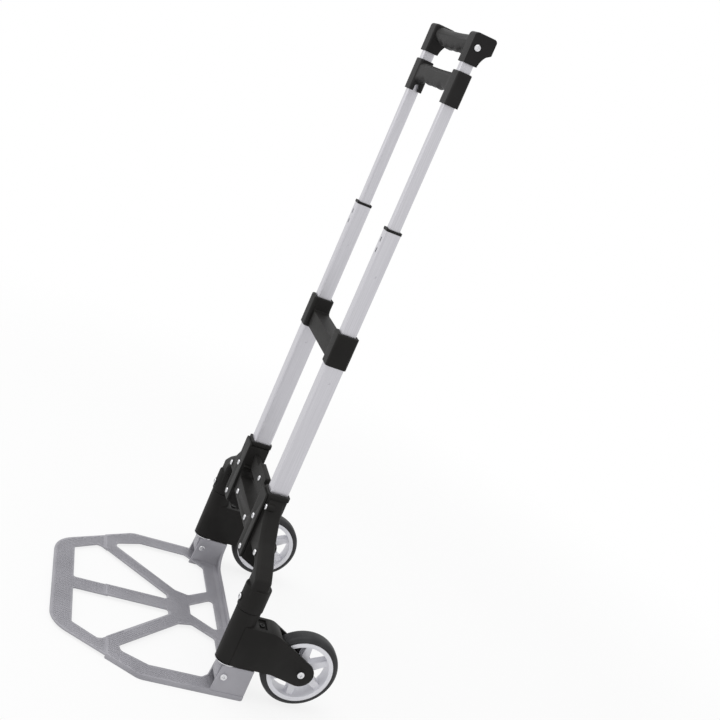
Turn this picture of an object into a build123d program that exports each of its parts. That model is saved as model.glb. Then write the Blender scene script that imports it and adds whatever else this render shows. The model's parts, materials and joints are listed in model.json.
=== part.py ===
from build123d import *
import os

# Folding hand truck, standing open on its toe plate with both handle stages drawn out.
# Millimetres. X runs to the right, Y to the back and Z up.
# The solids are drawn with the heel of the toe plate at Y = 0 and its underside at Z = 0.
# At the end they move along Y, so that the origin lies on the floor under the middle of the truck.
# Right-hand pieces are drawn, and left-hand ones are their mirror images.

# Main layout
AXIS_Y = -38.0            # plane of the tubes, the wheel posts and the toe plate's hinge
TUBE_X = 85.0             # each handle tube from the middle
POST_X = 172.0            # each wheel post from the middle
HINGE_Z = 31.0            # toe plate's hinge
WHEEL_ARM = 102.0         # wheel post to axle
AXLE_Y = AXIS_Y + WHEEL_ARM
AXLE_Z = 60.5
SLIDE_GAP = 0.3           # room between flat faces that slide or turn past each other
RUNNING_GAP = 0.05        # radial room of a shaft in its bore
OVERCUT = 1.0             # how far a cutter reaches past the face it cuts

# Toe plate; windows and ribs as (x, distance from the heel)
PLATE_WIDTH = 381.0
PLATE_HALF = PLATE_WIDTH / 2
PLATE_LENGTH = 272.0
PLATE_SIDE = 146.5        # straight part of each side, from the heel
NOSE_HALF = 110.8         # half of the front edge, before its corners are rounded
NOSE_CORNER = 53.0
SIDE_CORNER = 22.0
PLATE_TOP = 7.3
LIP_TOP = 6.3             # smooth front lip
LIP_START = 193.0         # where the lip begins, from the heel
SHEET = 2.4               # thickness of the bars and the lip
LIP_LAP = 4.0             # how far the lip runs under the bars
SKIRT = 3.0               # wall down to the floor along the sides
HEEL_RIM = 10.0           # flat along the heel on which the truck stands
UPPER_WINDOW = [(14, 97), (14, 241), (102, 241), (127, 205), (125, 198), (27, 97)]
UPPER_WINDOW_CORNER = 4.0
SIDE_WINDOW = [(39, 62), (45, 83), (134, 175), (146, 172), (164, 134), (164, 58), (136, 28.5), (63, 28.5)]
SIDE_WINDOW_CORNER = 7.0
HEEL_WINDOW = [(44, 21), (-44, 21), (-13, 62), (13, 62)]
HEEL_WINDOW_CORNER = 5.0
RIB_WIDTH = 1.6
RIB_Z = (2.4, 6.0)
RIB_PITCH = 5.0
RIBS_ABREAST = 3
RIB_LINES = [((0, 64), (0, 195)), ((20, 76), (136, 191)), ((177, 14), (177, 160)), ((50, 14), (150, 14))]
HEEL_WALL = 4.5
HEEL_HEIGHT = 12.0
HEEL_SWEEP = 26.0         # radius where the heel wall rises to the ears
HEEL_ROUND = 3.0
EAR_IN = 154.5
EAR_OUT = 2 * POST_X - EAR_IN
EAR_CHEEK = 4.0
EAR_BASE = -49.0          # front edge at the floor
EAR_ARC = 23.6            # degrees of rounding about the hinge, from straight above it to the front edge

# Wheel posts and the blocks at their feet
POST_RADIUS = 7.0
POST_TOP = 166.0
POST_ABOVE_PIN = 3.0
FOOT_FACE = [(-48.5, 48.8), (-46.5, 17.0), (-26.0, 17.0), (-20.0, 48.8)]     # side view, (y, z)
FOOT_CORNER = 6.0
WASHER_RADIUS = 18.0
WASHER_Z = (FOOT_FACE[0][1], 50.0)
EAR_TOP = WASHER_Z[0] - SLIDE_GAP
EAR_ROUND = EAR_TOP - HINGE_Z
HINGE_RADIUS = 4.0
HINGE_HEAD = (4.9, 2.2)   # radius and height
COLLAR_RADIUS = 18.6
COLLAR_Z = (132.5, 167.0)
COLLAR_EDGE = 1.5

# Wheel brackets
BARREL_Z = (WASHER_Z[1] + SLIDE_GAP, COLLAR_Z[0] - SLIDE_GAP)
BARREL_EDGE = 2.0
CHEEK_THICK = 4.0
CHEEK_OUT = 17.5          # outer face of each cheek from the wheel's middle
BARREL_RADIUS = CHEEK_OUT
CHEEK_END = 18.6          # radius at the axle
CHEEK_TOP = (8.0, 112.0)  # upper corner of the cheek's root, (y, z)
CHEEK_BASE_Y = 21.0       # lower corner of the root
CHEEK_ROUND = 24.0
PAD_STAND = 0.8           # raised half of the outer cheek
PAD_EDGE = [(33, 98.8), (21.7, 49.8)]      # its back edge, (y, z)
ROOF_BACK = 19.0          # roof between the cheeks, ahead of the tyre
TYRE_ROOM = 3.0
WEB_HOLLOW_Y = (-13.0, 1.5)
WEB_HOLLOW_TOP = 104.0
PAN = (12.0, 2.5)         # half width and depth of the sunk top round the bracket's screw
PAN_Y = (-16.5, -5.0)

# Wheels
WHEEL_RADIUS = 55.0
TYRE_WIDTH = 24.0
TYRE_ROUND = 5.0
TYRE_SEAT = 45.0
RIM_LIP = (46.6, 2.0)     # outer radius and width of the rim's edges
RIM_INNER = 40.5
HUB_RADIUS = 11.0
HUB_BORE = 6.5
BEARING_RADIUS = 8.0
BEARING_WIDTH = 7.0
SPOKE_COUNT = 6
SPOKE_ROOT = 13.0
SPOKE_TIP = 8.0
SPOKE_WIDTH = 13.0
HUB_HALF = CHEEK_OUT - CHEEK_THICK - SLIDE_GAP
AXLE_RADIUS = 4.0
AXLE_HEAD = (5.2, 2.4)    # radius and height
AXLE_END = 7.0            # bolt past the inner cheek
NUT = (7.0, 6.0)          # radius over the corners and height

# Handle tubes: width along X, depth along Y
LOWER_TUBE = (22.4, 26.4)
MIDDLE_TUBE = (17.8, 21.6)
UPPER_TUBE = (13.8, 16.0)
TUBE_WALL = 1.2
TUBE_CORNER = 2.6
BORE_CORNER = TUBE_CORNER - TUBE_WALL
LOWER_TUBE_Z = (168.0, 507.5)
MIDDLE_TUBE_Z = (400.0, 659.5)
UPPER_TUBE_Z = (655.0, 924.0)
BUSH_Z = (477.5, 507.5)
RING_HEIGHT = 3.5
RING_SKIRT = 3.0
RING_STAND = 0.4          # ring past the sides of its tube
MIDDLE_GUIDE_Z = (385.0, 400.0)
UPPER_GUIDE_Z = (610.0, 655.0)
GUIDE_CORNER = 1.0
GUIDE_SPIGOT = 28.0
LOCK_SLOT = (3.4, 7.0)
LOCK_SLOT_CORNER = 1.2
UPPER_LOCK_Z = (646.0, 631.0)
MIDDLE_LOCK_Z = 392.5
LOCK_PIN_RADIUS = 2.2
LOCK_PIN_LENGTH = 5.0
DIMPLE_RADIUS = 1.8
DIMPLE_DEPTH = 0.6
LOWER_DIMPLE_Z = 441.5
MIDDLE_DIMPLE_Z = 598.0

# Side frames and crossbar; outline points as (x, z)
SOCKET_X = (71.0, 101.5)
SOCKET_Y = (-53.2, -23.0)
SOCKET_Z = (153.0, 267.5)
SOCKET_EDGE = 5.0
SOCKET_CHIN = (-30.0, 164.5)      # underside slopes up to the front: where it starts, and its height there
RIM_BAND = 6.0
BAND_STAND = 1.0
ARM_Y = (-51.5, -27.0)
ARM_EDGE = 5.0
ARM_BASE = [(90, 188), (156, 188), (156, 150), (188, 150)]
ARM_CREST = [(188, 181), (168, 196), (140, 212), (113, 240), (102, 260), (90, 260)]
ARM_ROUNDS = [((156, 188), 13), ((188, 181), 8), ((168, 196), 30), ((140, 212), 30), ((113, 240), 12)]
STRIP_FRONT = -57.0               # strips that hold the crossbar to the sockets
STRIP_X = (68.0, 101.5)
STRIP_Z = (163.5, 264.5)
STRIP_CORNER = 4.0
STRIP_EDGE = 1.2
FLANGE_Z = (180.0, 261.0)
LOWER_BAR_Y = (-53.2, -42.0)
LOWER_BAR_Z = (187.0, 212.0)
UPPER_BAR_Y = (-43.5, -35.0)
UPPER_BAR_Z = (229.0, 249.0)
UPPER_BAR_HUMP = (28.0, 256.5)    # half width and top
HUMP_ROUND = 3.5
SHELF_BACK = -25.0                # lower bar's shelf, under the hand
SHELF_THICK = 5.0

# Middle bridge
BRIDGE_SOCKET = (27.6, 30.6)
BRIDGE_CORNER = 5.0
BRIDGE_Z = (465.0, 511.4)
BRIDGE_BAR_Y = (-47.0, -23.2)
BRIDGE_BAR_Z = (467.0, 491.0)
BRIDGE_POST = 22.0        # width of the sockets' straight part
BRIDGE_ROUND = 8.0
RIM_EDGE = 1.5            # rounded top edges of the bridge and the release grip

# Release grip, which slides on the upper tubes; finger waves as (x, z)
RELEASE_X = (70.0, 98.8)
RELEASE_Y = (-47.6, -28.0)
RELEASE_Z = (834.0, 878.0)
RELEASE_CORNER = 4.5
RELEASE_BAR_TOP = 874.5
RELEASE_SAG = 1.2
RELEASE_BAR_Y = (-46.3, -29.3)
RELEASE_BAR_CORNER = 7.5
RELEASE_TRAVEL = 8.0
RELEASE_WAVE = [(0, 848.7), (12, 850.6), (25, 848.4), (38, 853), (51, 850), (62, 848.5), (75, 843.5)]
NOTCH_WIDTH = 8.0
NOTCH_HEIGHT = 10.0
RELEASE_PIN_Z = 849.5
RELEASE_PIN_RADIUS = 2.0
RELEASE_PIN_INSET = 3.0
ROD_RADIUS = 2.0
ROD_Z = (634.0, 859.5)
ROD_HEAD_RADIUS = 4.5
ROD_HEAD_DROP = 5.0
SPRING_RADIUS = 3.6
SPRING_WIRE = 0.6
SPRING_TURNS = 7
SPRING_GAP = 0.2
SPIGOT_BOTTOM = 882.5

# Top grip; finger waves as (x, z)
GRIP_X = (72.2, 98.5)
GRIP_Z = (889.5, 929.0)
GRIP_FRONT = -47.2
GRIP_BACK = -16.3
GRIP_SOCKET_BACK = -28.4
GRIP_OVERHANG_Z = 904.8
GRIP_THROAT = 6.0         # throat ahead of the overhang's back
GRIP_CHIN = 4.0
GRIP_CROWN = 4.5
GRIP_SIDE_EDGE = 1.5      # edges of the outer faces
GRIP_INNER_EDGE = 3.0     # edges towards the bar
GRIP_BAR_Y = (-43.5, -21.5)
GRIP_BAR_CORNER = 9.0
GRIP_BAR_TOP = 927.0
GRIP_SAG = 2.2
GRIP_WAVE = [(0, 901), (14, 903.5), (27, 900.8), (41, 905.3), (52, 903.5), (63, 907), (76, 908)]
GRIP_SCREW_Z = 911.0

# Screws
SCREW_HEAD = (4.3, 1.8)   # radius and height
SCREW_SHANK = 1.9
SCREW_LENGTH = 11.0
SHORT_SCREW = 6.0
HEAD_ROUND = 1.2
CROSS = (4.6, 1.1)        # length and width of a driver recess
STRIP_SCREWS = [(86.0, 223.0), (86.0, 173.0)]
LOWER_BAR_SCREW = (41.0, 196.0)
UPPER_BAR_SCREW_Z = 243.0
ARM_SCREWS = [(141.0, 197.0), (106.2, 250.0)]
BRACKET_SCREW_Y = -11.0
BOSS_RADIUS = 5.6         # flat seats moulded for screws on curved faces
BOSS_STAND = 0.5

# The truck reaches from the front edge of the plate to the back of the wheels
CENTRE_SHIFT = (PLATE_LENGTH - (AXLE_Y + WHEEL_RADIUS)) / 2


def block(x, y, z):
    """Box between pairs of limits."""
    size = [high - low for low, high in (x, y, z)]
    middle = [(high + low) / 2 for low, high in (x, y, z)]
    return Pos(*middle) * Box(*size)


def column(size, corner, z):
    """Upright rounded bar on the right-hand tube axis."""
    return Pos(TUBE_X, AXIS_Y, z[0]) * extrude(RectangleRounded(*size, corner), z[1] - z[0])


def grown(size, room):
    """Width and depth with room added on every side."""
    return (size[0] + 2 * room, size[1] + 2 * room)


def rod(radius, start, direction, length):
    return Plane(start, z_dir=direction) * extrude(Circle(radius), length)


def slab_xy(sketch, z):
    return Pos(0, 0, z[0]) * extrude(sketch, z[1] - z[0])


def slab_xz(sketch, y):
    """Front-view sketch of (x, z), extruded between two Y limits."""
    plane = Plane((0, y[1], 0), x_dir=(1, 0, 0), z_dir=(0, -1, 0))
    return plane * extrude(sketch, y[1] - y[0])


def slab_yz(sketch, x):
    """Side-view sketch of (y, z), extruded between two X limits."""
    plane = Plane((x[0], 0, 0), x_dir=(0, 1, 0), z_dir=(1, 0, 0))
    return plane * extrude(sketch, x[1] - x[0])


def polygon(points):
    return make_face(Polyline(*points, close=True))


def rounded(face, corners):
    """Face with the corners nearest to some points rounded."""
    for place, radius in corners:
        face = fillet(face.vertices().sort_by_distance((*place, 0))[0], radius)
    return face


def mirrored(shape):
    return mirror(shape, about=Plane.YZ)


def both(shape):
    return Compound([*shape.solids(), *mirrored(shape).solids()])


def round_head(radius, height):
    """Rounded head with a cross-shaped driver recess, standing on Z = 0."""
    head = fillet(Cylinder(radius, height).edges().group_by(Axis.Z)[-1], HEAD_ROUND)
    bar = Pos(0, 0, height) * Box(*CROSS, height)
    return Pos(0, 0, height / 2) * head - bar - Rot(0, 0, 90) * bar


def shank(start, direction, length=SCREW_LENGTH):
    """Room for a screw's shank, driven from a point on a face against the face's direction."""
    inward = [-part for part in direction]
    return rod(SCREW_SHANK, start, inward, length)


def screw(start, direction, length=SCREW_LENGTH):
    """Pan-head screw seated on a face, with its head along the face's direction."""
    body = round_head(*SCREW_HEAD) + Pos(0, 0, -length / 2) * Cylinder(SCREW_SHANK, length)
    return Plane(start, z_dir=direction) * body


def plate_outline():
    nose = [(NOSE_HALF, -PLATE_LENGTH), (-NOSE_HALF, -PLATE_LENGTH)]
    right = [(PLATE_HALF, 0), (PLATE_HALF, -PLATE_SIDE)]
    left = [(-PLATE_HALF, -PLATE_SIDE), (-PLATE_HALF, 0)]
    face = polygon([*right, *nose, *left])
    face = fillet(face.vertices().group_by(Axis.Y)[0], NOSE_CORNER)
    side = [v for v in face.vertices() if abs(v.Y + PLATE_SIDE) < 1]
    return fillet(side, SIDE_CORNER)


def plate_window(points, corner):
    face = polygon([(x, -distance) for x, distance in points])
    return fillet(face.vertices(), corner)


def plate_windows():
    windows = [plate_window(HEEL_WINDOW, HEEL_WINDOW_CORNER)]
    for points, corner in ((UPPER_WINDOW, UPPER_WINDOW_CORNER), (SIDE_WINDOW, SIDE_WINDOW_CORNER)):
        window = plate_window(points, corner)
        windows += [window, mirrored(window)]
    return windows


def rib(start, end, aside):
    """Rib under the plate along a line, moved sideways from it."""
    start, end = [Vector(x, -distance) for x, distance in (start, end)]
    span = end - start
    low, high = RIB_Z
    bar = Pos(0, aside, (low + high) / 2) * Box(span.length, RIB_WIDTH, high - low)
    return Plane((start + end) * 0.5, x_dir=span, z_dir=(0, 0, 1)) * bar


def plate_ribs():
    """Rows of thin ribs under the bars of the plate."""
    made = []
    for line in RIB_LINES:
        for place in range(RIBS_ABREAST):
            one = rib(*line, (place - (RIBS_ABREAST - 1) / 2) * RIB_PITCH)
            made += [one, mirrored(one)]
    return made


def ear_profile():
    """Side view of an ear, rounded about the hinge so that it turns under the wheel bracket."""
    front = CenterArc((AXIS_Y, HINGE_Z), EAR_ROUND, 90, EAR_ARC)
    edge = Polyline(front @ 1, (EAR_BASE, 0), (0, 0), (0, EAR_TOP), (AXIS_Y, EAR_TOP))
    return make_face([front, *edge.edges()])


def heel_wall():
    rise = EAR_IN - HEEL_SWEEP
    crest = HEEL_HEIGHT + HEEL_SWEEP
    right = TangentArc((EAR_IN, crest), (rise, HEEL_HEIGHT), tangent=(0, -1))
    left = TangentArc((-EAR_IN, crest), (-rise, HEEL_HEIGHT), tangent=(0, -1))
    top = Line((rise, HEEL_HEIGHT), (-rise, HEEL_HEIGHT))
    base = Polyline((-EAR_IN, crest), (-EAR_IN, 0), (EAR_IN, 0), (EAR_IN, crest))
    return slab_xz(make_face([right, top, left, *base.edges()]), (-HEEL_WALL, 0))


def plate_ear():
    """Right-hand ear: two cheeks with the foot block's room between them."""
    profile = ear_profile()
    inner = (EAR_IN, EAR_IN + EAR_CHEEK)
    outer = (EAR_OUT - EAR_CHEEK, EAR_OUT)
    ear = slab_yz(profile, inner) + slab_yz(profile, outer)
    ear += block((EAR_IN, EAR_OUT), (-HEEL_WALL, 0), (0, EAR_TOP))
    return ear - hinge_line(HINGE_RADIUS)


def hinge_line(radius):
    """Rod along the hinge, from face to face of an ear."""
    return rod(radius, (EAR_IN, AXIS_Y, HINGE_Z), (1, 0, 0), EAR_OUT - EAR_IN)


def heel_corner():
    """What is cut off to round the plate's lower back edge."""
    corner = block((-PLATE_HALF, PLATE_HALF), (-HEEL_ROUND, 0), (0, HEEL_ROUND))
    return corner - rod(HEEL_ROUND, (-PLATE_HALF, -HEEL_ROUND, HEEL_ROUND), (1, 0, 0), PLATE_WIDTH)


def toe_plate():
    outline = plate_outline()
    thick = Pos(0, -LIP_START / 2) * Rectangle(PLATE_WIDTH, LIP_START)
    lip = outline - Pos(0, LIP_LAP) * thick
    skirt = (outline - offset(outline, -SKIRT)) & thick
    plate = slab_xy(outline & thick, (PLATE_TOP - SHEET, PLATE_TOP))
    plate += slab_xy(lip, (LIP_TOP - SHEET, LIP_TOP))
    clear = [slab_xy(window, (0, PLATE_TOP)) for window in plate_windows()]
    plate -= clear
    plate += [rib - clear for rib in plate_ribs()]
    plate += slab_xy(skirt, (0, PLATE_TOP))
    plate += block((-PLATE_HALF, PLATE_HALF), (-HEEL_RIM, 0), (0, PLATE_TOP))
    ear = plate_ear()
    plate += [heel_wall(), ear, mirrored(ear)]
    return plate - heel_corner()


def hinge_screw():
    """Shouldered pin through both cheeks of an ear, headed at both ends."""
    head = round_head(*HINGE_HEAD)
    outer = Plane((EAR_OUT, AXIS_Y, HINGE_Z), z_dir=(1, 0, 0)) * head
    inner = Plane((EAR_IN, AXIS_Y, HINGE_Z), z_dir=(-1, 0, 0)) * head
    return hinge_line(HINGE_RADIUS) + outer + inner


def foot_block():
    """Block at the foot of a post, which carries the toe plate's hinge between the ears."""
    inset = EAR_CHEEK + SLIDE_GAP
    face = polygon(FOOT_FACE)
    face = fillet(face.vertices().group_by(Axis.Y)[0], FOOT_CORNER)
    lug = slab_yz(face, (EAR_IN + inset, EAR_OUT - inset))
    return lug - hinge_line(HINGE_RADIUS + RUNNING_GAP) - wheel_post()


def thrust_washer():
    """Steel washer on which the wheel bracket turns."""
    low, high = WASHER_Z
    return rod(WASHER_RADIUS, (POST_X, AXIS_Y, low), (0, 0, 1), high - low) - wheel_post()


def wheel_post():
    bottom = HINGE_Z + HINGE_RADIUS + POST_ABOVE_PIN
    return rod(POST_RADIUS, (POST_X, AXIS_Y, bottom), (0, 0, 1), POST_TOP - bottom)


def socket_box():
    """Box round the foot of a handle tube, with a band at its mouth and a sloping underside."""
    box = block(SOCKET_X, SOCKET_Y, SOCKET_Z)
    back = box.edges().filter_by(Axis.Z).group_by(Axis.Y)[-1]
    box = fillet(back, SOCKET_EDGE)
    x, y = [(low - BAND_STAND, high + BAND_STAND) for low, high in (SOCKET_X, SOCKET_Y)]
    band = block(x, y, (SOCKET_Z[1] - RIM_BAND, SOCKET_Z[1]))
    box += fillet(band.edges().filter_by(Axis.Z), SOCKET_EDGE)
    start, height = SOCKET_CHIN
    front = SOCKET_Y[0] - OVERCUT
    slope = polygon([(start, SOCKET_Z[0]), (front, height), (front, SOCKET_Z[0])])
    return box - slab_yz(slope, x)


def side_arm():
    """Arm from the socket out to the wheel post."""
    face = rounded(polygon([*ARM_BASE, *ARM_CREST]), ARM_ROUNDS)
    arm = slab_xz(face, ARM_Y)
    edges = arm.edges().group_by(Axis.Y)
    return fillet(edges[0] + edges[-1], ARM_EDGE)


def side_frame(screws):
    """Moulded socket, arm and collar that carry a handle tube and a wheel post."""
    collar = rod(COLLAR_RADIUS, (POST_X, AXIS_Y, COLLAR_Z[0]), (0, 0, 1), COLLAR_Z[1] - COLLAR_Z[0])
    body = socket_box() + side_arm() + fillet(collar.edges(), COLLAR_EDGE)
    for seat in arm_screw_seats():
        body += screw_boss(*seat)
    body -= column(LOWER_TUBE, TUBE_CORNER, (LOWER_TUBE_Z[0], SOCKET_Z[1] + OVERCUT))
    return body - wheel_post() - screws


def crossbar_strip():
    """Right-hand strip on the front of the socket, with a flange along the socket's inner side."""
    size = [high - low for low, high in (STRIP_X, STRIP_Z)]
    face = Pos(sum(STRIP_X) / 2, sum(STRIP_Z) / 2) * RectangleRounded(*size, STRIP_CORNER)
    strip = slab_xz(face, (STRIP_FRONT, SOCKET_Y[0] - BAND_STAND))
    strip = fillet(strip.faces().sort_by(Axis.Y)[0].edges(), STRIP_EDGE)
    return strip + block((STRIP_X[0], SOCKET_X[0]), (STRIP_FRONT + STRIP_EDGE, SHELF_BACK), FLANGE_Z)


def slot_end():
    """Rounded right-hand end of the hand slot between the bars."""
    low, high = LOWER_BAR_Z[1], UPPER_BAR_Z[0]
    radius = (high - low) / 2
    centre = STRIP_X[0] - radius
    face = Pos(centre + radius / 2, low + radius) * Rectangle(radius, high - low)
    face -= Pos(centre, low + radius) * Circle(radius)
    return slab_xz(face, (LOWER_BAR_Y[0], UPPER_BAR_Y[1]))


def crossbar(screws):
    """Two strips joined by a lower and an upper bar, with room for a hand between the bars."""
    reach = (-STRIP_X[0], STRIP_X[0])
    half, top = UPPER_BAR_HUMP
    hump = block((-half, half), UPPER_BAR_Y, (UPPER_BAR_Z[0], top))
    ends = hump.edges().filter_by(Axis.Y).group_by(Axis.Z)[-1]
    bars = block(reach, LOWER_BAR_Y, LOWER_BAR_Z) + block(reach, UPPER_BAR_Y, UPPER_BAR_Z)
    bars += block(reach, (LOWER_BAR_Y[0], SHELF_BACK), (LOWER_BAR_Z[1] - SHELF_THICK, LOWER_BAR_Z[1]))
    end = crossbar_strip() + slot_end()
    return bars + fillet(ends, HUMP_ROUND) + end + mirrored(end) - screws


def crossbar_screw_seats():
    """Screws of the right-hand strip and of the lower bar's right-hand end."""
    forward = (0, -1, 0)
    seats = [((x, STRIP_FRONT, z), forward) for x, z in STRIP_SCREWS]
    x, z = LOWER_BAR_SCREW
    return [*seats, ((x, LOWER_BAR_Y[0], z), forward)]


def arm_screw_seats():
    return [((x, ARM_Y[0] - BOSS_STAND, z), (0, -1, 0)) for x, z in ARM_SCREWS]


def screw_boss(start, direction):
    """Flat round seat that stands out of a curved face."""
    inward = [-part for part in direction]
    return rod(BOSS_RADIUS, start, inward, SCREW_LENGTH)


def tube(size, z):
    return column(size, TUBE_CORNER, z) - column(grown(size, -TUBE_WALL), BORE_CORNER, z)


def dimple(size, z):
    """Shallow crimp mark on each side face of a tube."""
    face = TUBE_X + size[0] / 2
    mark = rod(DIMPLE_RADIUS, (face - DIMPLE_DEPTH, AXIS_Y, z), (1, 0, 0), DIMPLE_DEPTH + OVERCUT)
    return mark + Pos(2 * TUBE_X, 0, 0) * mirrored(mark)


def lock_slot(size, z, side):
    """Upright slot through the front (side -1) or back (side 1) wall of a tube."""
    face = AXIS_Y + side * size[1] / 2
    limits = (face - TUBE_WALL - OVERCUT, face + TUBE_WALL + OVERCUT)
    return slab_xz(Pos(TUBE_X, z) * RectangleRounded(*LOCK_SLOT, LOCK_SLOT_CORNER), limits)


def lower_tube(screws):
    body = tube(LOWER_TUBE, LOWER_TUBE_Z) - dimple(LOWER_TUBE, LOWER_DIMPLE_Z)
    return body - lock_slot(LOWER_TUBE, MIDDLE_LOCK_Z, 1) - screws


def lower_bush():
    """Plastic sleeve in the top of the lower tube, in which the middle tube slides."""
    sleeve = column(grown(LOWER_TUBE, -TUBE_WALL), BORE_CORNER, BUSH_Z)
    return sleeve - column(grown(MIDDLE_TUBE, SLIDE_GAP), TUBE_CORNER, BUSH_Z)


def middle_tube():
    body = tube(MIDDLE_TUBE, MIDDLE_TUBE_Z) - dimple(MIDDLE_TUBE, MIDDLE_DIMPLE_Z)
    return body - [lock_slot(MIDDLE_TUBE, z, -1) for z in UPPER_LOCK_Z]


def middle_ring():
    """Black ring that caps the middle tube and guides the upper one."""
    top = MIDDLE_TUBE_Z[1]
    low, high = top - RING_SKIRT, top + RING_HEIGHT
    cap = column(grown(MIDDLE_TUBE, RING_STAND), TUBE_CORNER, (top, high))
    cap += column(grown(MIDDLE_TUBE, -TUBE_WALL), BORE_CORNER, (low, top))
    return cap - column(grown(UPPER_TUBE, SLIDE_GAP), TUBE_CORNER, (low, high))


def guide(outer_tube, own_tube, z):
    """Plastic block on the lower end of a sliding tube, with a spigot inside that tube."""
    body = column(grown(outer_tube, -TUBE_WALL - SLIDE_GAP), GUIDE_CORNER, z)
    return body + column(grown(own_tube, -TUBE_WALL), BORE_CORNER, (z[1], z[1] + GUIDE_SPIGOT))


def lock_pin(tube_size, z, side):
    """Steel lock pin along Y, drawn back flush with its guide."""
    reach = tube_size[1] / 2 - TUBE_WALL - SLIDE_GAP
    return rod(LOCK_PIN_RADIUS, (TUBE_X, AXIS_Y + side * reach, z), (0, -side, 0), LOCK_PIN_LENGTH)


def middle_lock_pin():
    return lock_pin(LOWER_TUBE, MIDDLE_LOCK_Z, 1)


def upper_lock_pins():
    return Compound([lock_pin(MIDDLE_TUBE, z, -1) for z in UPPER_LOCK_Z])


def middle_guide():
    return guide(LOWER_TUBE, MIDDLE_TUBE, MIDDLE_GUIDE_Z) - middle_lock_pin()


def upper_guide():
    body = guide(MIDDLE_TUBE, UPPER_TUBE, UPPER_GUIDE_Z)
    low = ROD_Z[0] - OVERCUT
    top = UPPER_GUIDE_Z[1] + GUIDE_SPIGOT + OVERCUT
    body -= rod(ROD_RADIUS + SLIDE_GAP, (TUBE_X, AXIS_Y, low), (0, 0, 1), top - low)
    return body - upper_lock_pins().solids()


def upper_tube(screws):
    """Upper tube, with a slot in each side along which the release pin travels."""
    width = RELEASE_PIN_RADIUS + SLIDE_GAP
    reach = UPPER_TUBE[0] / 2 + OVERCUT
    travel = (RELEASE_PIN_Z - width, RELEASE_PIN_Z + RELEASE_TRAVEL + width)
    slot = block((TUBE_X - reach, TUBE_X + reach), (AXIS_Y - width, AXIS_Y + width), travel)
    return tube(UPPER_TUBE, UPPER_TUBE_Z) - screws - slot


def collar_bridge():
    """Bridge that ties the two lower tubes together at their upper ends."""
    low, high = BRIDGE_Z
    face = Rectangle(2 * TUBE_X, BRIDGE_BAR_Z[1] - BRIDGE_BAR_Z[0])
    face = Pos(0, sum(BRIDGE_BAR_Z) / 2) * face
    for side in (1, -1):
        face += Pos(side * TUBE_X, (low + high) / 2) * Rectangle(BRIDGE_POST, high - low)
    inner = [v for v in face.vertices() if abs(v.Y - BRIDGE_BAR_Z[1]) < 0.1]
    bridge = slab_xz(fillet(inner, BRIDGE_ROUND), BRIDGE_BAR_Y)
    socket = column(BRIDGE_SOCKET, BRIDGE_CORNER, BRIDGE_Z)
    socket = fillet(socket.faces().sort_by(Axis.Z)[-1].edges(), RIM_EDGE)
    bridge += socket + mirrored(socket)
    passage = column(LOWER_TUBE, TUBE_CORNER, (low, LOWER_TUBE_Z[1]))
    passage += column(grown(MIDDLE_TUBE, SLIDE_GAP), TUBE_CORNER, (low, high))
    return bridge - passage - mirrored(passage)


def grip_bar(wave, top, sag, y, corner):
    """Rounded bar along X with a slightly sagging top, and finger waves given for its right half."""
    reach = wave[-1][0]
    stations = [(-x, z) for x, z in reversed(wave[1:])] + wave
    sections = []
    for x, low in stations:
        high = top - sag * (1 - (x / reach) ** 2)
        plane = Plane((x, sum(y) / 2, (low + high) / 2), x_dir=(0, 1, 0), z_dir=(1, 0, 0))
        sections.append(plane * RectangleRounded(y[1] - y[0], high - low, corner))
    return loft(sections, ruled=True)


def release_socket():
    """Right-hand end of the release grip, notched on its inner side."""
    low, high = RELEASE_Z
    size = (RELEASE_X[1] - RELEASE_X[0], RELEASE_Y[1] - RELEASE_Y[0])
    middle = (sum(RELEASE_X) / 2, sum(RELEASE_Y) / 2)
    socket = Pos(*middle, low) * extrude(RectangleRounded(*size, RELEASE_CORNER), high - low)
    socket = fillet(socket.faces().sort_by(Axis.Z)[-1].edges(), RIM_EDGE)
    arch = Pos(AXIS_Y, low) * Rot(0, 0, 90) * SlotOverall(2 * NOTCH_HEIGHT, NOTCH_WIDTH)
    return socket - slab_yz(arch, (RELEASE_X[0] - OVERCUT, TUBE_X))


def release_grip(pins):
    bar = grip_bar(RELEASE_WAVE, RELEASE_BAR_TOP, RELEASE_SAG, RELEASE_BAR_Y, RELEASE_BAR_CORNER)
    socket = release_socket()
    passage = column(grown(UPPER_TUBE, SLIDE_GAP), TUBE_CORNER, RELEASE_Z)
    grip = bar + socket + mirrored(socket)
    return grip - passage - mirrored(passage) - pins


def release_pin():
    """Cross pin that ties the release grip to the rod inside the upper tube."""
    start = RELEASE_X[0] + RELEASE_PIN_INSET
    length = RELEASE_X[1] - RELEASE_PIN_INSET - start
    return rod(RELEASE_PIN_RADIUS, (start, AXIS_Y, RELEASE_PIN_Z), (1, 0, 0), length)


def release_rod():
    low, high = ROD_Z
    eye_low = RELEASE_PIN_Z - ROD_HEAD_DROP
    stem = rod(ROD_RADIUS, (TUBE_X, AXIS_Y, low), (0, 0, 1), high - low)
    eye = rod(ROD_HEAD_RADIUS, (TUBE_X, AXIS_Y, eye_low), (0, 0, 1), high - eye_low)
    return stem + eye - release_pin()


def return_spring():
    """Coil between the release rod and the top grip's spigot."""
    start = ROD_Z[1] + SPRING_WIRE + SPRING_GAP
    length = SPIGOT_BOTTOM - SPRING_WIRE - SPRING_GAP - start
    path = Helix(length / SPRING_TURNS, length, SPRING_RADIUS)
    section = Plane(path @ 0, z_dir=path % 0) * Circle(SPRING_WIRE)
    return Pos(TUBE_X, AXIS_Y, start) * sweep(section, path)


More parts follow.
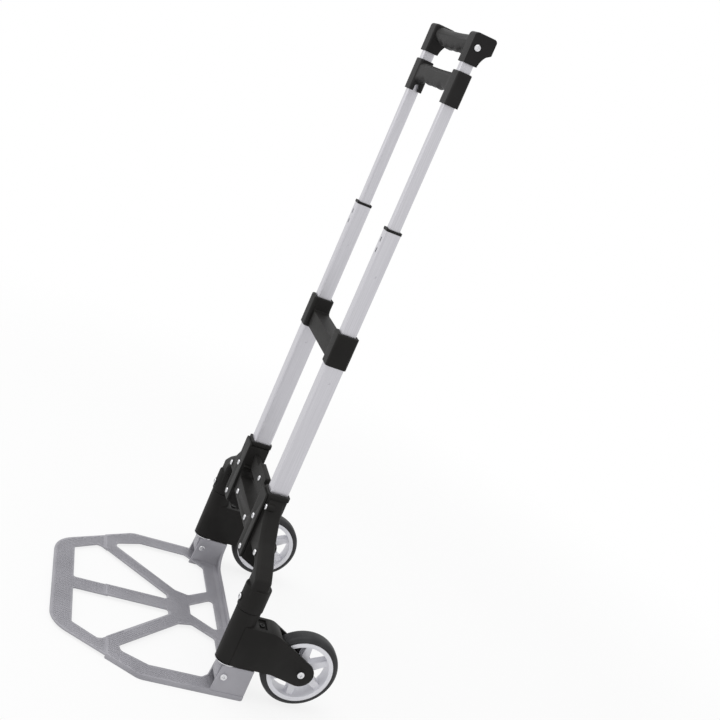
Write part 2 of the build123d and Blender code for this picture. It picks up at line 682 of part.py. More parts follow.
def grip_profile():
    """End view of the top grip: a socket in front and an overhang for the palm behind."""
    low, high = GRIP_Z
    throat = (GRIP_BACK - GRIP_THROAT, GRIP_OVERHANG_Z)
    chin = (GRIP_BACK, GRIP_OVERHANG_Z + GRIP_CHIN)
    curve = TangentArc((GRIP_SOCKET_BACK, low), throat, tangent=(0.1, 1))
    rest = Polyline(throat, chin, (GRIP_BACK, high), (GRIP_FRONT, high), (GRIP_FRONT, low))
    base = Line((GRIP_FRONT, low), (GRIP_SOCKET_BACK, low))
    face = make_face([curve, *rest.edges(), base])
    top = [v for v in face.vertices() if v.Y > high - 1]
    return fillet(top, GRIP_CROWN)


def grip_end():
    """Right-hand end of the top grip, softened towards the bar."""
    end = slab_yz(grip_profile(), GRIP_X)
    inner = end.faces().sort_by(Axis.X)[0].edges().sort_by(Axis.Y)[0]
    end = fillet(inner, GRIP_INNER_EDGE)
    return fillet(end.faces().sort_by(Axis.X)[-1].edges(), GRIP_SIDE_EDGE)


def top_grip(screws):
    end = grip_end()
    grip = grip_bar(GRIP_WAVE, GRIP_BAR_TOP, GRIP_SAG, GRIP_BAR_Y, GRIP_BAR_CORNER) + end + mirrored(end)
    socket = column(UPPER_TUBE, TUBE_CORNER, (GRIP_Z[0] - OVERCUT, UPPER_TUBE_Z[1]))
    spigot = column(grown(UPPER_TUBE, -TUBE_WALL), BORE_CORNER, (SPIGOT_BOTTOM, UPPER_TUBE_Z[1]))
    grip -= [socket, mirrored(socket)]
    grip += [spigot, mirrored(spigot)]
    return grip - screws


def cheek_outline():
    """Side view of a bracket cheek: a plate that narrows to a round end at the axle."""
    base = BARREL_Z[0]
    tip = Pos(AXLE_Y, AXLE_Z) * Circle(CHEEK_END)
    shoulder = ((CHEEK_BASE_Y, base), CHEEK_TOP)
    root = polygon([(AXIS_Y, base), *shoulder, (AXIS_Y, CHEEK_TOP[1])])
    face = make_hull([*tip.edges(), Line(*shoulder)]) + root
    return rounded(face, [(CHEEK_TOP, CHEEK_ROUND)])


def pad_outline():
    """Side view of the raised half of the outer cheek."""
    high, low = PAD_EDGE
    above = 2 * CHEEK_TOP[1]
    ahead = polygon([high, low, (low[0], 0), (AXIS_Y, 0), (AXIS_Y, above), (high[0], above)])
    return cheek_outline() & ahead


def web_outline():
    """Side view of the web and roof between the cheeks, rounded clear of the tyre."""
    width = ROOF_BACK - AXIS_Y
    ahead = Pos(AXIS_Y + width / 2, AXLE_Z) * Rectangle(width, 2 * CHEEK_TOP[1])
    tyre_room = Pos(AXLE_Y, AXLE_Z) * Circle(WHEEL_RADIUS + TYRE_ROOM)
    return (cheek_outline() & ahead) - tyre_room


def wheel_bracket():
    """Fork that turns on the wheel post: a barrel, two cheeks, and a web and roof between them."""
    low, high = BARREL_Z
    outer = POST_X + CHEEK_OUT
    inner = POST_X - CHEEK_OUT
    barrel = rod(BARREL_RADIUS, (POST_X, AXIS_Y, low), (0, 0, 1), high - low)
    body = fillet(barrel.edges(), BARREL_EDGE)
    cheek = cheek_outline()
    body += [slab_yz(cheek, (outer - CHEEK_THICK, outer)), slab_yz(cheek, (inner, inner + CHEEK_THICK))]
    body += [slab_yz(web_outline(), (inner, outer)), slab_yz(pad_outline(), (outer, outer + PAD_STAND))]
    body -= rod(POST_RADIUS + RUNNING_GAP, (POST_X, AXIS_Y, low), (0, 0, 1), high - low)
    hollow = (inner + CHEEK_THICK, outer - CHEEK_THICK)
    body -= block(hollow, WEB_HOLLOW_Y, (low - OVERCUT, WEB_HOLLOW_TOP))
    half, depth = PAN
    top = CHEEK_TOP[1]
    body -= block((POST_X - half, POST_X + half), PAN_Y, (top - depth, top + OVERCUT))
    return body - axle_bolt() - shank(*bracket_screw_seat(), length=SHORT_SCREW)


def bracket_screw_seat():
    """Screw down into the bracket's roof."""
    return ((POST_X, BRACKET_SCREW_Y, CHEEK_TOP[1] - PAN[1]), (0, 0, 1))


def axle_bolt():
    """Bolt through both cheeks, with a round head outside."""
    start = POST_X - CHEEK_OUT - AXLE_END
    end = POST_X + CHEEK_OUT
    bolt = rod(AXLE_RADIUS, (start, AXLE_Y, AXLE_Z), (1, 0, 0), end - start)
    return bolt + Plane((end, AXLE_Y, AXLE_Z), z_dir=(1, 0, 0)) * round_head(*AXLE_HEAD)


def axle_nut():
    radius, height = NUT
    face = Plane((POST_X - CHEEK_OUT, AXLE_Y, AXLE_Z), z_dir=(-1, 0, 0))
    return face * extrude(RegularPolygon(radius, 6), height) - axle_bolt()


def on_axle(shape):
    """Turn a wheel piece drawn about Z onto the axle."""
    return Pos(POST_X, AXLE_Y, AXLE_Z) * Rot(0, 90, 0) * shape


def ring(outer, inner, z):
    return slab_xy(Circle(outer) - Circle(inner), z)


def rim_edges(inner):
    """Raised edges on both sides of the rim, from a given inner radius."""
    outer, width = RIM_LIP
    half = TYRE_WIDTH / 2
    return [ring(outer, inner, (half - width, half)), ring(outer, inner, (-half, width - half))]


def wheel_rim():
    half = TYRE_WIDTH / 2
    rim = ring(TYRE_SEAT, RIM_INNER, (-half, half)) + rim_edges(RIM_INNER)
    rim += ring(HUB_RADIUS, HUB_BORE, (-HUB_HALF, HUB_HALF))
    root = (HUB_RADIUS + HUB_BORE) / 2
    tip = (TYRE_SEAT + RIM_INNER) / 2
    corners = [(root, SPOKE_ROOT / 2), (tip, SPOKE_TIP / 2)]
    taper = polygon([*corners, *[(r, -w) for r, w in reversed(corners)]])
    spoke = slab_xy(taper, (-SPOKE_WIDTH / 2, SPOKE_WIDTH / 2))
    for step in range(SPOKE_COUNT):
        rim += Rot(0, 0, step * 360 / SPOKE_COUNT) * spoke
    return on_axle(rim - Cylinder(HUB_BORE, 2 * HUB_HALF) - bearing_seats())


def bearing_seats():
    """Room for a bearing in each end of the hub."""
    seat = Pos(0, 0, HUB_HALF - BEARING_WIDTH / 2) * Cylinder(BEARING_RADIUS, BEARING_WIDTH)
    return [seat, mirror(seat, about=Plane.XY)]


def wheel_bearings():
    bore = Cylinder(AXLE_RADIUS + RUNNING_GAP, 2 * HUB_HALF)
    races = [seat - bore for seat in bearing_seats()]
    return on_axle(Compound([solid for race in races for solid in race.solids()]))


def tyre():
    half = TYRE_WIDTH / 2
    body = ring(WHEEL_RADIUS, TYRE_SEAT, (-half, half))
    tread = [e for e in body.edges().filter_by(GeomType.CIRCLE) if e.radius > RIM_LIP[0]]
    return on_axle(fillet(tread, TYRE_ROUND) - rim_edges(TYRE_SEAT - OVERCUT))


def grip_screw_seat():
    return ((GRIP_X[1], AXIS_Y, GRIP_SCREW_Z), (1, 0, 0))


def middle_screw_seat():
    return ((0, UPPER_BAR_Y[0], UPPER_BAR_SCREW_Z), (0, -1, 0))


def build():
    crossbar_seats = crossbar_screw_seats()
    arm_seats = arm_screw_seats()
    front_shanks = [shank(*seat) for seat in crossbar_seats]
    arm_shanks = [shank(*seat) for seat in arm_seats]
    middle_shank = shank(*middle_screw_seat(), length=SHORT_SCREW)
    grip_shank = shank(*grip_screw_seat())
    pin = release_pin()
    pairs = {
        "side_frame": side_frame(front_shanks + arm_shanks),
        "lower_tube": lower_tube(front_shanks + arm_shanks),
        "lower_bush": lower_bush(),
        "wheel_post": wheel_post(),
        "foot_block": foot_block(),
        "thrust_washer": thrust_washer(),
        "hinge_screw": hinge_screw(),
        "wheel_bracket": wheel_bracket(),
        "bracket_screw": screw(*bracket_screw_seat(), length=SHORT_SCREW),
        "axle_bolt": axle_bolt(),
        "axle_nut": axle_nut(),
        "wheel_rim": wheel_rim(),
        "tyre": tyre(),
        "wheel_bearings": wheel_bearings(),
        "middle_tube": middle_tube(),
        "middle_ring": middle_ring(),
        "middle_guide": middle_guide(),
        "middle_lock_pin": middle_lock_pin(),
        "upper_tube": upper_tube(grip_shank),
        "upper_guide": upper_guide(),
        "upper_lock_pins": upper_lock_pins(),
        "release_rod": release_rod(),
        "release_pin": pin,
        "return_spring": return_spring(),
    }
    front_screws = both(Compound([screw(*seat) for seat in crossbar_seats])).solids()
    middle_screw = screw(*middle_screw_seat(), length=SHORT_SCREW).solids()
    all_shanks = front_shanks + [mirrored(part) for part in front_shanks]
    singles = {
        "toe_plate": toe_plate(),
        "crossbar": crossbar([*all_shanks, middle_shank]),
        "crossbar_screws": Compound([*front_screws, *middle_screw]),
        "arm_screws": both(Compound([screw(*seat) for seat in arm_seats])),
        "collar_bridge": collar_bridge(),
        "release_grip": release_grip([pin, mirrored(pin)]),
        "top_grip": top_grip([grip_shank, mirrored(grip_shank)]),
        "grip_screws": both(Compound([screw(*grip_screw_seat())])),
    }
    nodes = dict(singles)
    for name, shape in pairs.items():
        nodes[name + "_right"] = shape
        nodes[name + "_left"] = mirrored(shape)
    return nodes


os.makedirs("parts", exist_ok=True)
for node, solid in build().items():
    export_step(Pos(0, CENTRE_SHIFT, 0) * solid, f"parts/{node}.step")
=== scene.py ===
import itertools
import json
import math
import bmesh
import bpy
from mathutils import Matrix, Vector
from mathutils.bvhtree import BVHTree

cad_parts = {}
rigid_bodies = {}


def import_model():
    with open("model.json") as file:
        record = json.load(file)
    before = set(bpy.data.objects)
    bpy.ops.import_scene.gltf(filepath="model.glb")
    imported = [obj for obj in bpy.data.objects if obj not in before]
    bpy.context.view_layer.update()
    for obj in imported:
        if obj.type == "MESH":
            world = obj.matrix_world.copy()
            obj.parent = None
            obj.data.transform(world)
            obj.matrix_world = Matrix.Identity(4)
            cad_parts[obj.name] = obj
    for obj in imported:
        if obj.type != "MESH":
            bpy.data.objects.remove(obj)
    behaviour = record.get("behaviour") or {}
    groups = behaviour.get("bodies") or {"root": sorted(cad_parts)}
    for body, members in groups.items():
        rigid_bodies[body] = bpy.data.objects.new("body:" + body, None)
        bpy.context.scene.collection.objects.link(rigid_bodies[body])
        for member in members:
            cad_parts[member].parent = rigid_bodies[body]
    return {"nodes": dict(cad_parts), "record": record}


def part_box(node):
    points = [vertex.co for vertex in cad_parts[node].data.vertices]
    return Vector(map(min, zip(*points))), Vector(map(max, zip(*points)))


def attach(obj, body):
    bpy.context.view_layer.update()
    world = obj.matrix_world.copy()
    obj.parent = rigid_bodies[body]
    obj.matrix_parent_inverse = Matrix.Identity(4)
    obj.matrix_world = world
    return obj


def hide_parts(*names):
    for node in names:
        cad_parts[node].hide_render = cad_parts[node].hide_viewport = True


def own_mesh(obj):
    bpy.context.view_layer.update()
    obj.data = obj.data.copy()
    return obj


# Looks of a folding hand truck: cast plate, anodised tubes, moulded black plastic and rubber tyres.
# Metres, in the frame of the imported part: X to the right, Y to the back, Z up, floor at Z = 0.

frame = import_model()
for leftover in [o for o in bpy.data.objects if o.name in ("Cube", "Camera", "Light")]:
    bpy.data.objects.remove(leftover)
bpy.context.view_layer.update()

MM = 0.001
SIDES = {"right": 1, "left": -1}

# Camera, at the photograph's viewing angle
CAMERA_PLACE = Vector((1.4059, -0.4099, 0.8302))
CAMERA_AZIMUTH = math.radians(70.047)
CAMERA_ELEVATION = math.radians(13.853)
CAMERA_ROLL = math.radians(24.080)
CAMERA_LENS = 53.73
SENSOR_WIDTH = 36.0

# Stage: the floor fades out between two distances, and its glow and the room's light are shares of white
WHITE = "#FFFFFF"
FLOOR_RADIUS = 3.0
FLOOR_STEPS = 96
FLOOR_FADE = (0.7, 1.6)
FLOOR_GLOW = 0.82
ROOM_LIGHT = 0.66

# Softboxes: place, the point they face, width and height in metres, and power in watts
SOFTBOXES = {
    "front_softbox": ((-1.0, -2.2, 1.6), (0, 0, 0.45), (1.8, 1.8), 12),
    "top_softbox": ((0.2, -0.5, 2.6), (0, 0, 0), (2.0, 2.0), 22),
}

# Finishes: where most values of a noise lie, how far a roughness varies, and how far the drawing lines of a
# tube run along it
NOISE_MIDDLE = (0.35, 0.65)
NYLON_SPREAD = 0.06
STEEL_SPREAD = 0.1
DRAWN_ALONG = (1, 1, 0.01)

# Copies of CAD nodes: points nearer than MERGE become one, and faces nearer to flat than FLAT join
MERGE = 0.005 * MM
FLAT = math.radians(0.6)

# Edge rounding of moulded and cast pieces, in mm, where faces meet at more than SHARP
SHARP = math.radians(35)
EDGE_STEPS = 2
EDGE_WIDTHS = {
    "toe_plate": 0.5, "crossbar": 0.8, "collar_bridge": 1.0, "top_grip": 1.2, "release_grip": 1.0,
    "side_frame_right": 0.8, "side_frame_left": 0.8, "wheel_bracket_right": 1.0, "wheel_bracket_left": 1.0,
    "wheel_rim_right": 0.7, "wheel_rim_left": 0.7, "foot_block_right": 0.8, "foot_block_left": 0.8,
}

# Tread on the plate: low studs, coarser than the real ones so that they show, on both levels of its upper
# side, from the front edge to a smooth strip along the heel
PLATE_LEVELS = (6.3 * MM, 7.3 * MM)
LEVEL_ROOM = 0.25 * MM
FACING_UP = 0.99
RAY_RISE = 1.0 * MM
STUD_STEP = 2.3 * MM
STUD_RADIUS = 1.6 * MM
STUD_RISE = 0.35 * MM
STUD_ROOM = 2.5 * MM
TREAD_END = 65.5 * MM

# Ribs under the plate's hub and its bars to the heel: both ends in mm, to the right and ahead of the heel
HEEL_Y = 76.5 * MM
HUB_RIBS = [((-34, 66), (34, 92)), ((34, 66), (-34, 92)), ((26, 62), (54, 24)), ((-26, 62), (-54, 24))]
HUB_RIB_WIDTH = 2.0 * MM
HUB_RIB_Z = (2.6 * MM, 5.6 * MM)

# Tyres: half of the section in mm, as (distance from the wheel's middle, radius)
AXLE = Vector((172.0, 140.5, 60.5)) * MM
TYRE_HALF = [(10.0, 45.05), (10.0, 46.65), (11.4, 46.65), (11.9, 48.2), (11.7, 50.2), (11.2, 50.5),
             (10.3, 52.6), (8.2, 54.2), (4.8, 54.9), (1.6, 55.0)]
TYRE_STEPS = 96

# Screws on the fronts of the post collars, and their seats
COLLAR_SCREW = Vector((172.0, 19.5, 145.2)) * MM
SCREW_HEAD = 1.8 * MM
BOSS_RADIUS = 5.6 * MM
BOSS_DEPTH = 6.0 * MM
BOSS_STEPS = 32


def add_node(tree, kind, values=None, **settings):
    """Add a node, set its properties, and set or link its sockets."""
    made = tree.nodes.new(kind)
    for name, value in settings.items():
        setattr(made, name, value)
    for socket, value in (values or {}).items():
        if isinstance(value, bpy.types.NodeSocket):
            tree.links.new(value, made.inputs[socket])
        else:
            made.inputs[socket].default_value = value
    return made


def linear(code):
    """Linear colour of an sRGB hex value."""
    parts = [int(code[place:place + 2], 16) / 255 for place in (1, 3, 5)]
    lit = [c / 12.92 if c <= 0.04045 else ((c + 0.055) / 1.055) ** 2.4 for c in parts]
    return (*lit, 1.0)


def new_material(name):
    """Empty node material with its tree, and the point being shaded."""
    made = bpy.data.materials.new(name)
    made.use_nodes = True
    tree = made.node_tree
    tree.nodes.clear()
    place = add_node(tree, "ShaderNodeTexCoord").outputs["Object"]
    return made, tree, place


def surface(tree, values):
    """Principled surface, joined to the material's output."""
    shader = add_node(tree, "ShaderNodeBsdfPrincipled", values)
    add_node(tree, "ShaderNodeOutputMaterial", {"Surface": shader.outputs[0]})


def speckle(tree, place, size, detail=2.0):
    """Noise whose grains are about as large as the size given."""
    values = {"Vector": place, "Scale": 1 / size, "Detail": detail}
    return add_node(tree, "ShaderNodeTexNoise", values).outputs["Fac"]


def between(tree, share, low, high):
    """Values from low to high, over the middle of a noise."""
    start, end = NOISE_MIDDLE
    values = {"Value": share, "From Min": start, "From Max": end, "To Min": low, "To Max": high}
    return add_node(tree, "ShaderNodeMapRange", values).outputs["Result"]


def tinted(tree, share, dark, light):
    """Colour between two sRGB hex values."""
    values = {"Factor": share, "A": linear(dark), "B": linear(light)}
    return add_node(tree, "ShaderNodeMix", values, data_type="RGBA").outputs["Result"]


def moulded_nylon(name, dark, light, grain, roughness):
    """Moulded nylon: nearly black, dull, with the grain of a spark-eroded mould, coarser than life."""
    made, tree, place = new_material(name)
    cloud = between(tree, speckle(tree, place, size=40 * MM), low=0, high=1)
    grit = speckle(tree, place, size=grain, detail=3)
    bump = add_node(tree, "ShaderNodeBump", {"Height": grit, "Strength": 0.25, "Distance": 0.1 * MM})
    surface(tree, {
        "Base Color": tinted(tree, cloud, dark, light),
        "Roughness": between(tree, grit, roughness - NYLON_SPREAD, roughness + NYLON_SPREAD),
        "Specular IOR Level": 0.18,
        "Normal": bump.outputs[0],
    })
    return made


def painted_casting():
    """Cast aluminium under satin silver-grey paint: a soft sheen and a faint orange peel."""
    made, tree, place = new_material("painted_cast_aluminium")
    cloud = between(tree, speckle(tree, place, size=60 * MM), low=0, high=1)
    peel = speckle(tree, place, size=1.2 * MM)
    bump = add_node(tree, "ShaderNodeBump", {"Height": peel, "Strength": 0.15, "Distance": 0.1 * MM})
    surface(tree, {
        "Base Color": tinted(tree, cloud, "#9B9AA0", "#A5A4AA"),
        "Metallic": 0.25,
        "Roughness": between(tree, peel, low=0.42, high=0.5),
        "Normal": bump.outputs[0],
    })
    return made


def anodised_tube():
    """Anodised aluminium tube: pale satin silver, with faint drawing lines along it, wider than life."""
    made, tree, place = new_material("anodised_aluminium")
    along = add_node(tree, "ShaderNodeMapping", {"Vector": place, "Scale": DRAWN_ALONG}).outputs[0]
    lines = speckle(tree, along, size=0.9 * MM)
    bump = add_node(tree, "ShaderNodeBump", {"Height": lines, "Strength": 0.1, "Distance": 0.05 * MM})
    surface(tree, {
        "Base Color": tinted(tree, between(tree, lines, low=0, high=1), "#C2C1C6", "#CECDD2"),
        "Metallic": 0.85,
        "Roughness": between(tree, lines, low=0.34, high=0.42),
        "Normal": bump.outputs[0],
    })
    return made


def tyre_rubber():
    """Smooth moulded rubber: soft black with a slight grey bloom, and a grit coarser than life."""
    made, tree, place = new_material("tyre_rubber")
    bloom = between(tree, speckle(tree, place, size=18 * MM, detail=3), low=0, high=1)
    grit = speckle(tree, place, size=0.8 * MM)
    bump = add_node(tree, "ShaderNodeBump", {"Height": grit, "Strength": 0.15, "Distance": 0.1 * MM})
    surface(tree, {
        "Base Color": tinted(tree, bloom, "#1E1E20", "#29292B"),
        "Roughness": between(tree, grit, low=0.5, high=0.62),
        "Specular IOR Level": 0.4,
        "Normal": bump.outputs[0],
    })
    return made


def silver_moulding():
    """Silver-white moulded wheel: smooth and fairly glossy, with pearly flakes larger than life."""
    made, tree, place = new_material("silver_moulding")
    pearl = between(tree, speckle(tree, place, size=0.6 * MM, detail=1), low=0, high=1)
    surface(tree, {
        "Base Color": tinted(tree, pearl, "#E4E4EA", "#EEEEF3"),
        "Metallic": 0.05,
        "Roughness": between(tree, pearl, low=0.28, high=0.36),
    })
    return made


def steel(name, dark, light, roughness):
    """Zinc-plated or turned steel, or steel darkened as painted shade, by its colours: bare metal with a
    slightly uneven shine.
    """
    made, tree, place = new_material(name)
    uneven = between(tree, speckle(tree, place, size=3 * MM), low=0, high=1)
    surface(tree, {
        "Base Color": tinted(tree, uneven, dark, light),
        "Metallic": 1.0,
        "Roughness": between(tree, uneven, roughness, roughness + STEEL_SPREAD),
    })
    return made


def finishes():
    """Materials by the record's slots."""
    return {
        "plate_grey": painted_casting(),
        "tube_silver": anodised_tube(),
        "frame_black": moulded_nylon("moulded_nylon", "#161514", "#1C1B1A", grain=0.5 * MM, roughness=0.58),
        "grip_black": moulded_nylon("moulded_grip_nylon", "#1A1919", "#212020", grain=0.7 * MM,
                                    roughness=0.55),
        "tyre_black": tyre_rubber(),
        "rim_white": silver_moulding(),
        "screw_steel": steel("zinc_plated_steel", "#CFCFD2", "#E2E2E4", roughness=0.2),
        "inner_steel": steel("turned_steel", "#9C9CA0", "#B2B2B5", roughness=0.3),
    }


def shade_bracket_screws():
    """Steel darkened on the bracket screws, darker than the others of their slot: painted shade for the
    hollows in the bracket roofs.
    """
    # Painted shade: the bracket screws get a dark steel so that they stay dim in the hollows of the bracket
    # roofs
    shaded_screw_steel = steel("shade_darkened_steel", "#232323", "#303030", roughness=0.35)
    for side in SIDES:
        frame["nodes"]["bracket_screw_" + side].data.materials[0] = shaded_screw_steel


def slot_of(node):
    """Material slot that the record gives a node."""
    rows = frame["record"]["subparts"]
    return next(row["material_slot"] for row in rows if row["node"] == node)


def body_of(node):
    """Body that carries a node."""
    bodies = frame["record"]["behaviour"]["bodies"]
    return next(body for body, nodes in bodies.items() if node in nodes)


def add_piece(name, shape, body, slot):
    """Make an object of a finished bmesh, riding on a body."""
    mesh = bpy.data.meshes.new(name)
    shape.to_mesh(mesh)
    shape.free()
    mesh.shade_smooth()
    mesh.set_sharp_from_angle(angle=SHARP)
    mesh.materials.append(FINISHES[slot])
    made = bpy.data.objects.new(name, mesh)
    bpy.context.scene.collection.objects.link(made)
    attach(made, body)
    return made


def merged_copy(node):
    """CAD node as a closed bmesh with flat faces in one piece."""
    shape = bmesh.new()
    shape.from_mesh(frame["nodes"][node].data)
    bmesh.ops.remove_doubles(shape, verts=shape.verts, dist=MERGE)
    bmesh.ops.dissolve_limit(shape, angle_limit=FLAT, verts=shape.verts, edges=shape.edges)
    return shape


def softened(node, width):
    """Piece that stands for a CAD node, with its sharp edges rounded."""
    shape = merged_copy(node)
    edges = [e for e in shape.edges if e.is_manifold and e.calc_face_angle() > SHARP]
    bmesh.ops.bevel(shape, geom=edges, offset=width, offset_type="OFFSET", segments=EDGE_STEPS, profile=0.5,
                    affect="EDGES", clamp_overlap=True, material=-1)
    made = add_piece(node + "_moulding", shape, body_of(node), slot_of(node))
    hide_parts(node)


def plate_tread():
    """Staggered low studs over the plate, wherever its upper faces have room for a whole one."""
    upper = merged_copy("toe_plate")
    treads = []
    for face in upper.faces:
        height = face.calc_center_median().z
        off = min(abs(height - level) for level in PLATE_LEVELS)
        if face.normal.z > FACING_UP and off < LEVEL_ROOM:
            treads.append(face)
    bmesh.ops.delete(upper, geom=[f for f in upper.faces if f not in treads], context="FACES")
    ground = BVHTree.FromBMesh(upper)
    columns = int(max(v.co.x for v in upper.verts) / STUD_STEP)
    front = min(v.co.y for v in upper.verts)
    rows = int((TREAD_END - front) / STUD_STEP)
    upper.free()
    down = Vector((0, 0, -1))
    corners = [Vector(side) for side in ((1, 0, 0), (0, 1, 0), (-1, 0, 0), (0, -1, 0))]
    shape = bmesh.new()
    for row, column in itertools.product(range(rows + 1), range(-columns, columns + 1)):
        if (row + column) % 2:
            continue
        centre = Vector((column * STUD_STEP, front + row * STUD_STEP, max(PLATE_LEVELS) + RAY_RISE))
        found = [ground.ray_cast(centre + corner * STUD_ROOM, down)[0] for corner in corners]
        if None in found or max(p.z for p in found) - min(p.z for p in found) > MERGE:
            continue
        centre.z = found[0].z
        shape.faces.new([shape.verts.new(centre + corner * STUD_RADIUS) for corner in corners])
    raised = bmesh.ops.extrude_face_region(shape, geom=shape.faces[:])
    tops = [v for v in raised["geom"] if isinstance(v, bmesh.types.BMVert)]
    bmesh.ops.translate(shape, verts=tops, vec=(0, 0, STUD_RISE))
    bmesh.ops.recalc_face_normals(shape, faces=shape.faces)
    add_piece("plate_tread", shape, "toe_plate", "plate_grey")


def hub_ribs():
    """Crossed ribs under the plate's hub, and one along each bar to the heel."""
    low, high = HUB_RIB_Z
    shape = bmesh.new()
    for ends in HUB_RIBS:
        start, end = [Vector((right * MM, HEEL_Y - ahead * MM, (low + high) / 2)) for right, ahead in ends]
        along = end - start
        size = Matrix.Diagonal((along.length, HUB_RIB_WIDTH, high - low, 1))
        turn = Matrix.Rotation(math.atan2(along.y, along.x), 4, "Z")
        bmesh.ops.create_cube(shape, size=1, matrix=Matrix.Translation((start + end) / 2) @ turn @ size)
    add_piece("hub_ribs", shape, "toe_plate", "plate_grey")


def tyre(side):
    """Lathe-turned tyre with a slight crown and a ledge at each shoulder."""
    sign = SIDES[side]
    shape = bmesh.new()
    section = TYRE_HALF + [(-across, radius) for across, radius in reversed(TYRE_HALF)]
    points = [shape.verts.new((across * MM, 0, radius * MM)) for across, radius in section]
    edges = [shape.edges.new(pair) for pair in zip(points, points[1:] + points[:1])]
    bmesh.ops.spin(shape, geom=points + edges, cent=(0, 0, 0), axis=(1, 0, 0), angle=math.tau,
                   steps=TYRE_STEPS, use_merge=True)
    bmesh.ops.remove_doubles(shape, verts=shape.verts, dist=MERGE)
    bmesh.ops.recalc_face_normals(shape, faces=shape.faces)
    bmesh.ops.translate(shape, verts=shape.verts, vec=(sign * AXLE.x, AXLE.y, AXLE.z))
    made = add_piece("tyre_rubber_" + side, shape, "wheel_" + side, "tyre_black")
    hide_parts("tyre_" + side)


def collar_screw(side):
    """Round seat on the front of a post collar, and its screw."""
    sign = SIDES[side]
    place = Vector((sign * COLLAR_SCREW.x, COLLAR_SCREW.y, COLLAR_SCREW.z))
    forward = Matrix.Rotation(math.radians(90), 4, "X")
    boss = bmesh.new()
    bmesh.ops.create_cone(boss, cap_ends=True, segments=BOSS_STEPS, radius1=BOSS_RADIUS,
                          radius2=BOSS_RADIUS, depth=BOSS_DEPTH)
    bmesh.ops.translate(boss, verts=boss.verts, vec=(0, 0, -BOSS_DEPTH / 2))
    bmesh.ops.transform(boss, matrix=Matrix.Translation(place) @ forward, verts=boss.verts)
    add_piece("collar_boss_" + side, boss, "frame", "frame_black")
    low, high = [Vector(corner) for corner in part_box("bracket_screw_right")]
    seat = Vector(((low.x + high.x) / 2, (low.y + high.y) / 2, high.z - SCREW_HEAD))
    screw = merged_copy("bracket_screw_right")
    turned = Matrix.Translation(place) @ forward @ Matrix.Translation(-seat)
    bmesh.ops.transform(screw, matrix=turned, verts=screw.verts)
    add_piece("collar_screw_" + side, screw, "frame", "screw_steel")


def spring_coil(side):
    """Return spring, held at its top by the handle, as a piece with a mesh of its own."""
    node = "return_spring_" + side
    made = add_piece("spring_coil_" + side, merged_copy(node), "upper_stage", slot_of(node))
    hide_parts(node)
    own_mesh(made)


def add_camera():
    """Camera at the photograph's viewpoint, turned by its azimuth, elevation and roll."""
    turn, rise, roll = CAMERA_AZIMUTH, CAMERA_ELEVATION, CAMERA_ROLL
    back = Vector((math.sin(turn) * math.cos(rise), -math.cos(turn) * math.cos(rise), math.sin(rise)))
    level = Vector((math.cos(turn), math.sin(turn), 0))
    right = level * math.cos(roll) + back.cross(level) * math.sin(roll)
    camera = bpy.data.cameras.new("camera")
    camera.lens = CAMERA_LENS
    camera.sensor_width = SENSOR_WIDTH
    made = bpy.data.objects.new("camera", camera)
    turned = Matrix((right, back.cross(right), back)).transposed().to_4x4()
    made.matrix_world = Matrix.Translation(CAMERA_PLACE) @ turned
    bpy.context.scene.collection.objects.link(made)
    bpy.context.scene.camera = made


def add_softbox(name, place, aim, size, power):
    """Large soft lamp that faces a point."""
    lamp = bpy.data.lights.new(name, "AREA")
    lamp.shape = "RECTANGLE"
    lamp.size, lamp.size_y = size
    lamp.energy = power
    made = bpy.data.objects.new(name, lamp)
    made.location = place
    made.rotation_mode = "QUATERNION"
    made.rotation_quaternion = (Vector(aim) - Vector(place)).to_track_quat("-Z", "Y")
    bpy.context.scene.collection.objects.link(made)


def backdrop_rays(tree):
    """One for the rays that show the backdrop: those of the camera, of gloss and of glass."""
    path = add_node(tree, "ShaderNodeLightPath").outputs
    share = path["Is Camera Ray"]
    for other in ("Is Glossy Ray", "Is Transmission Ray"):
        share = add_node(tree, "ShaderNodeMath", {0: share, 1: path[other]}, operation="MAXIMUM").outputs[0]
    return share


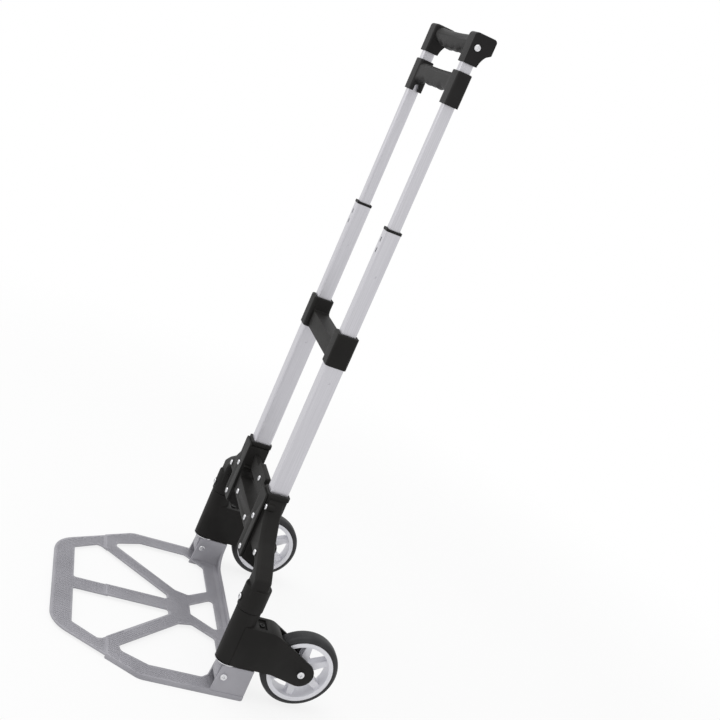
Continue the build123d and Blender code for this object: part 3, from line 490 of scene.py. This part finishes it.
def add_room():
    """White surroundings that light the object evenly."""
    world = bpy.data.worlds.new("white_room")
    world.use_nodes = True
    tree = world.node_tree
    tree.nodes.clear()
    strength = add_node(tree, "ShaderNodeMapRange", {"Value": backdrop_rays(tree), "To Min": ROOM_LIGHT})
    values = {"Color": linear(WHITE), "Strength": strength.outputs[0]}
    light = add_node(tree, "ShaderNodeBackground", values)
    add_node(tree, "ShaderNodeOutputWorld", {"Surface": light.outputs[0]})
    bpy.context.scene.world = world


def floor_paper():
    """White studio paper, which fades into the white room away from the object."""
    made, tree, place = new_material("studio_paper")
    distance = add_node(tree, "ShaderNodeVectorMath", {0: place}, operation="LENGTH").outputs["Value"]
    near, far = FLOOR_FADE
    fade = add_node(tree, "ShaderNodeMapRange", {"Value": distance, "From Min": near, "From Max": far},
                    interpolation_type="SMOOTHSTEP").outputs[0]
    paper = add_node(tree, "ShaderNodeBsdfDiffuse", {"Color": linear("#F4F4F4")})
    white = add_node(tree, "ShaderNodeEmission", {"Color": linear(WHITE), "Strength": 1.0})
    shown = add_node(tree, "ShaderNodeMath", {0: backdrop_rays(tree), 1: FLOOR_GLOW}, operation="MULTIPLY")
    layers = {0: shown.outputs[0], 1: paper.outputs[0], 2: white.outputs[0]}
    glow = add_node(tree, "ShaderNodeMixShader", layers)
    clear = add_node(tree, "ShaderNodeBsdfTransparent")
    faded = add_node(tree, "ShaderNodeMixShader", {0: fade, 1: glow.outputs[0], 2: clear.outputs[0]})
    add_node(tree, "ShaderNodeOutputMaterial", {"Surface": faded.outputs[0]})
    return made


def add_floor():
    """Round paper floor that the truck stands on."""
    shape = bmesh.new()
    bmesh.ops.create_circle(shape, cap_ends=True, segments=FLOOR_STEPS, radius=FLOOR_RADIUS)
    mesh = bpy.data.meshes.new("floor")
    shape.to_mesh(mesh)
    shape.free()
    mesh.materials.append(floor_paper())
    made = bpy.data.objects.new("floor", mesh)
    bpy.context.scene.collection.objects.link(made)


FINISHES = finishes()
for node, made in frame["nodes"].items():
    made.data.materials[0] = FINISHES[slot_of(node)]
# Bracket screws darkened, as painted shade for the hollows they sit in
shade_bracket_screws()

for node, width in EDGE_WIDTHS.items():
    softened(node, width * MM)
plate_tread()
hub_ribs()
for side in SIDES:
    tyre(side)
    collar_screw(side)
    spring_coil(side)

bpy.context.scene.view_settings.view_transform = "Standard"
add_camera()
add_room()
add_floor()
for name, (place, aim, size, power) in SOFTBOXES.items():
    add_softbox(name, place, aim, size, power)
